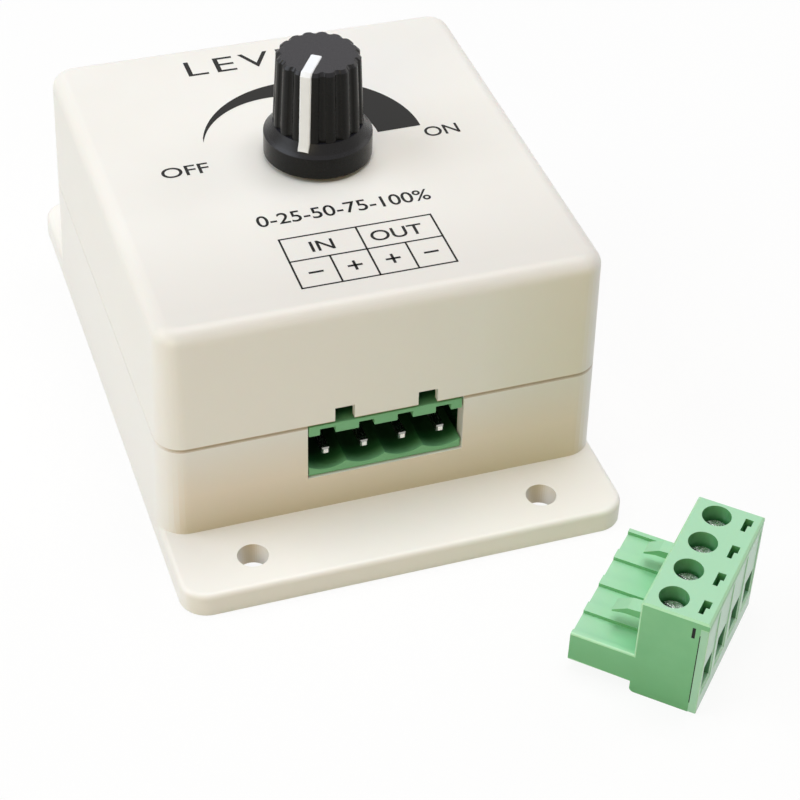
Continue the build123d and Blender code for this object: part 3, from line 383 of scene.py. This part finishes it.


# a merged copy of a node with its edges rounded and its faces marked for the painted light and shade in the finishes
def dress(node, rounding, shortest):
    look = dressLook
    mesh = frame["nodes"][node].data.copy()
    shape = bmesh.new()
    shape.from_mesh(mesh)
    bmesh.ops.remove_doubles(shape, verts=shape.verts, dist=look["weld"] * mm)
    bmesh.ops.dissolve_limit(shape, angle_limit=radians(look["flat"]), verts=shape.verts, edges=shape.edges)
    upward, frontward, ahead, rim, hollow = (shape.faces.layers.float.new(name) for name in
                                             ("upward", "frontward", "ahead", "rim", "hollow"))
    bay = shape.loops.layers.float.new("bay")
    if rounding:
        hard = [edge for edge in shape.edges if isHard(edge, shortest)]
        if node.startswith("plug_"):
            hard = [edge for edge in hard if not staysSharp(edge)]
        made = bmesh.ops.bevel(shape, geom=hard, offset=rounding * mm, offset_type="OFFSET", segments=look["segments"],
                               profile=0.5, affect="EDGES", material=-1, clamp_overlap=True)
        # rounded edges are marked for a painted highlight
        for face in made["faces"]:
            face[rim] = 1.0
    shape.normal_update()
    # how far each face looks up, to the front and ahead, and which are edges and hollows: masks for painted light and
    # shade
    for face in shape.faces:
        face[upward] = max(0.0, face.normal.z) ** look["upPower"]
        face[frontward] = max(0.0, -face.normal.y) ** look["frontPower"]
        level = face.normal.xy.length
        if level > look["leastLevel"]:  # by its bearing alone
            face[ahead] = max(0.0, -face.normal.y / level) ** look["bearingPower"]
        # chamfers are marked for the painted highlight too
        if look["chamfer"][0] < face.normal.z < look["chamfer"][1]:
            face[rim] = 1.0
        if node in ("plug_housing", "plug_wire_face") and isHollow(face, node):
            face[rim], face[hollow] = 0.0, 1.0
        if node == "plug_housing" and isStep(face):
            shadeBay(face, bay)
    shape.to_mesh(mesh)
    shape.free()
    mesh.attributes.remove(mesh.attributes["custom_normal"])  # stored for the faces before rounding
    mesh.shade_smooth()
    mesh.set_sharp_from_angle(angle=radians(look["smooth"]))
    mesh.materials.clear()
    mesh.materials.append(ownFinish.get(node, finishes[nodeSlot[node]]))
    piece = bpy.data.objects.new(node + "Look", mesh)
    bpy.context.collection.objects.link(piece)
    flat = piece.modifiers.new("flat", "WEIGHTED_NORMAL")
    flat.keep_sharp = True
    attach(piece, nodeBody[node])
    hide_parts(node)


for node, cadPiece in frame["nodes"].items():
    if node in softened:
        dress(node, *softened[node])
    else:
        cadPiece.data.materials.clear()
        cadPiece.data.materials.append(finishes[nodeSlot[node]])
print("nodes dressed")

# print on the lid; places are in mm from the origin
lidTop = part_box("cover_shell")[1].z
printLook = {"film": 0.02, "line": 0.25, "weight": 0.008, "titleWeight": -0.004, "titleSpacing": 1.16}
words = {  # name: text, left, right, baseline, height of capitals
    "printTitle": ("LEVEL", -10.76, 9.3, 23.25, 3.64),
    "printOff": ("OFF", -19.96, -13.73, 0.46, 2.2),
    "printOn": ("ON", 15.72, 20.42, 0.44, 2.2),
    "printScale": ("0-25-50-75-100%", -11.09, 11.69, -13.06, 2.27),
    "printIn": ("IN", -6.12, -3.13, -19.75, 2.1),
    "printOut": ("OUT", 1.68, 8.46, -19.75, 2.1),
}
marks = {  # polarity signs in the lower row: centre x, upright stroke or not
    "printMinusFirst": (-6.9, False), "printPlusFirst": (-1.93, True),
    "printPlusLast": (2.95, True), "printMinusLast": (7.9, False),
}
markLook = {"y": -23.75, "size": 1.9, "stroke": 0.36}
gridLook = {"left": -9.47, "right": 10.35, "bottom": -26.48, "top": -16.25, "row": -21.01, "middle": 0.47,
            "cells": (-4.34, 5.43)}
arcLook = {"outer": (1.15, 3.75, 14.6), "inner": (-1.85, 3.62, 11.63), "steps": 72, "tip": 162.5, "end": -1.7}


def meshFrom(shape, name):
    mesh = bpy.data.meshes.new(name)
    shape.to_mesh(mesh)
    shape.free()
    return mesh


def addDarkFilm(name, mesh):
    for face in mesh.polygons:
        face.use_smooth = False
    mesh.materials.clear()
    mesh.materials.append(inkAndShadow)
    piece = bpy.data.objects.new(name, mesh)
    bpy.context.collection.objects.link(piece)
    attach(piece, "box")


def onLid(x, y):
    return Matrix.Translation((x * mm, y * mm, lidTop + printLook["film"] * mm))


def printWord(name, text, left, right, baseline, height):
    curve = bpy.data.curves.new(name + "Curve", "FONT")
    curve.body = text
    curve.offset = printLook["titleWeight"] if name == "printTitle" else printLook["weight"]
    curve.space_character = printLook["titleSpacing"] if name == "printTitle" else 1.0
    holder = bpy.data.objects.new(name + "Curve", curve)
    bpy.context.collection.objects.link(holder)
    bpy.context.view_layer.update()
    mesh = bpy.data.meshes.new_from_object(holder)
    bpy.data.objects.remove(holder)
    xs = [v.co.x for v in mesh.vertices]
    stemTop = max(v.co.y for v in mesh.vertices)
    stretch = (right - left) / (max(xs) - min(xs))
    mesh.transform(Matrix.Translation((-min(xs), 0, 0)))
    mesh.transform(Matrix.Diagonal((stretch * mm, height / stemTop * mm, 1, 1)))
    mesh.transform(onLid(left, baseline))
    addDarkFilm(name, mesh)


def layDarkBars(name, bars):  # flat strokes: place, width, depth
    shape = bmesh.new()
    for place, width, depth in bars:
        spread = place @ Matrix.Diagonal((width * mm, depth * mm, 1, 1))
        bmesh.ops.create_grid(shape, x_segments=1, y_segments=1, size=0.5, matrix=spread)
    addDarkFilm(name, meshFrom(shape, name))


def printGrid():
    look, line = gridLook, printLook["line"]
    width, depth = look["right"] - look["left"], look["top"] - look["bottom"]
    centreX, centreY = (look["left"] + look["right"]) / 2, (look["top"] + look["bottom"]) / 2
    bars = [(onLid(centreX, y), width + line, line) for y in (look["bottom"], look["row"], look["top"])]
    bars += [(onLid(x, centreY), line, depth + line) for x in (look["left"], look["middle"], look["right"])]
    low = look["row"] - look["bottom"]
    bars += [(onLid(x, look["bottom"] + low / 2), line, low) for x in look["cells"]]
    layDarkBars("printGrid", bars)


def printArc():
    look = arcLook
    shape = bmesh.new()
    height = lidTop + printLook["film"] * mm
    for centreX, centreY, radius in (look["outer"], look["inner"]):
        start = shape.verts.new(((centreX + radius * cos(radians(look["tip"]))) * mm,
                                 (centreY + radius * sin(radians(look["tip"]))) * mm, height))
        bmesh.ops.spin(shape, geom=[start], cent=(centreX * mm, centreY * mm, height), axis=(0, 0, 1),
                       angle=radians(look["end"] - look["tip"]), steps=look["steps"])
    bmesh.ops.bridge_loops(shape, edges=shape.edges)
    bmesh.ops.recalc_face_normals(shape, faces=shape.faces)
    addDarkFilm("printArc", meshFrom(shape, "printArc"))


for name, word in words.items():
    printWord(name, *word)
for name, (x, upright) in marks.items():
    place = onLid(x, markLook["y"])
    strokes = [(place, markLook["size"], markLook["stroke"])]
    if upright:
        strokes.append((place, markLook["stroke"], markLook["size"]))
    layDarkBars(name, strokes)
printGrid()
printArc()
print("print laid on the lid")

# painted shadow: dark strips over the seam between the plug's wire face and housing, and inside its latch slot, on
# both ends of the plug
seamSlotShadowLook = {"strips": (  # offset from the seam, low, high, width, how far it stands proud
    (0.0, 1.6, 12.9, 0.12, 0.004),
    (-0.8, 12.15, 13.85, 0.4, -0.05),
)}


def laySeamSlotShadows():
    wireFace = frame["nodes"]["plug_wire_face"].data
    end = max((fromPlug @ vertex.co).y for vertex in wireFace.vertices) / mm
    bars = []
    for offset, low, high, width, film in seamSlotShadowLook["strips"]:
        for side in (-1, 1):
            centre = Vector((plugLook["seam"] + offset, side * (end + film), (low + high) / 2))
            upright = Matrix.Rotation(radians(-90 * side), 4, "X")
            bars.append((plugPlace @ Matrix.Translation(centre * mm) @ upright, width, high - low))
    layDarkBars("plugSeamSlotShadows", bars)


laySeamSlotShadows()

# table top and surround
roomLook = {"floor": (0.9, 0.89, 0.865), "size": 4.0, "drop": 0.00005, "glow": 0.9,
            "sky": (1.0, 0.97, 0.92), "skyLevel": 0.12}


def seenRays(start):
    rays = ("Is Camera Ray", "Is Glossy Ray", "Is Transmission Ray")
    camera, glossy, through = (start.make("ShaderNodeLightPath", output=ray) for ray in rays)
    return camera + glossy + through


def addFloor():
    shape = bmesh.new()
    bmesh.ops.create_grid(shape, x_segments=1, y_segments=1, size=roomLook["size"] / 2)
    bmesh.ops.translate(shape, vec=(0, 0, -roomLook["drop"]), verts=shape.verts)
    mesh = meshFrom(shape, "tableTop")
    finish = bpy.data.materials.new("tableTop")
    finish.use_nodes = True
    tree = finish.node_tree
    tree.nodes.remove(tree.nodes["Principled BSDF"])
    start = Sock(tree)
    matt = start.make("ShaderNodeBsdfDiffuse", None, {"Color": (*roomLook["floor"], 1.0)})
    glow = start.make("ShaderNodeEmission", None, {"Color": (1.0, 1.0, 1.0, 1.0), "Strength": 1.0})
    mixed = start.make("ShaderNodeMixShader", None, {0: seenRays(start) * roomLook["glow"], 1: matt, 2: glow})
    feed(tree.nodes["Material Output"], "Surface", mixed)
    mesh.materials.append(finish)
    floor = bpy.data.objects.new("tableTop", mesh)
    bpy.context.collection.objects.link(floor)


def addSky():
    world = bpy.data.worlds.new("surround")
    world.use_nodes = True
    bpy.context.scene.world = world
    tree = world.node_tree
    start = Sock(tree)
    background = tree.nodes["Background"]
    background.inputs["Color"].default_value = (*roomLook["sky"], 1.0)
    feed(background, "Strength", seenRays(start).span(0.0, 1.0, roomLook["skyLevel"], 1.0))


lampAim = (0.0, -0.01, 0.02)
lamps = {  # place in m, size in m, power in W, colour
    "topLamp": ((0.08, 0.05, 0.8), 0.55, 3.85, (0.985, 0.985, 1.0)),
    "keyLamp": ((-0.55, 0.08, 0.5), 0.6, 2.58, (0.84, 0.91, 1.0)),
    "frontLamp": ((-0.5, -0.62, 0.3), 0.5, 1.58, (1.0, 0.84, 0.46)),
    "rightLamp": ((0.65, 0.1, 0.42), 0.5, 0.9, (1.0, 0.98, 0.95)),
}


def addLamp(name, place, size, power, colour):
    data = bpy.data.lights.new(name, "AREA")
    data.shape = "DISK"
    data.size = size
    data.energy = power
    data.color = colour
    lamp = bpy.data.objects.new(name, data)
    lamp.location = place
    lamp.rotation_euler = (Vector(lampAim) - Vector(place)).to_track_quat("-Z", "Y").to_euler()
    bpy.context.collection.objects.link(lamp)


cameraLook = {"place": (-0.06862, -0.22517, 0.19362), "heading": 19.969, "pitch": 40.404, "roll": 2.271,
              "focal": 2170.9, "picture": 800.0, "sensor": 36.0, "near": 0.01}  # focal length in pixels of the picture


def addCamera():
    look = cameraLook
    data = bpy.data.cameras.new("photoCamera")
    data.sensor_width = look["sensor"]
    data.lens = look["focal"] * look["sensor"] / look["picture"]
    data.clip_start = look["near"]
    camera = bpy.data.objects.new("photoCamera", data)
    turn = Matrix.Rotation(radians(-look["heading"]), 4, "Z") @ Matrix.Rotation(radians(90 - look["pitch"]), 4, "X")
    turn = turn @ Matrix.Rotation(radians(look["roll"]), 4, "Z")
    camera.matrix_world = Matrix.Translation(look["place"]) @ turn
    bpy.context.collection.objects.link(camera)
    bpy.context.scene.camera = camera


addFloor()
addSky()
for name, lamp in lamps.items():
    addLamp(name, *lamp)
addCamera()
bpy.context.scene.view_settings.view_transform = "Standard"
print("stage set")
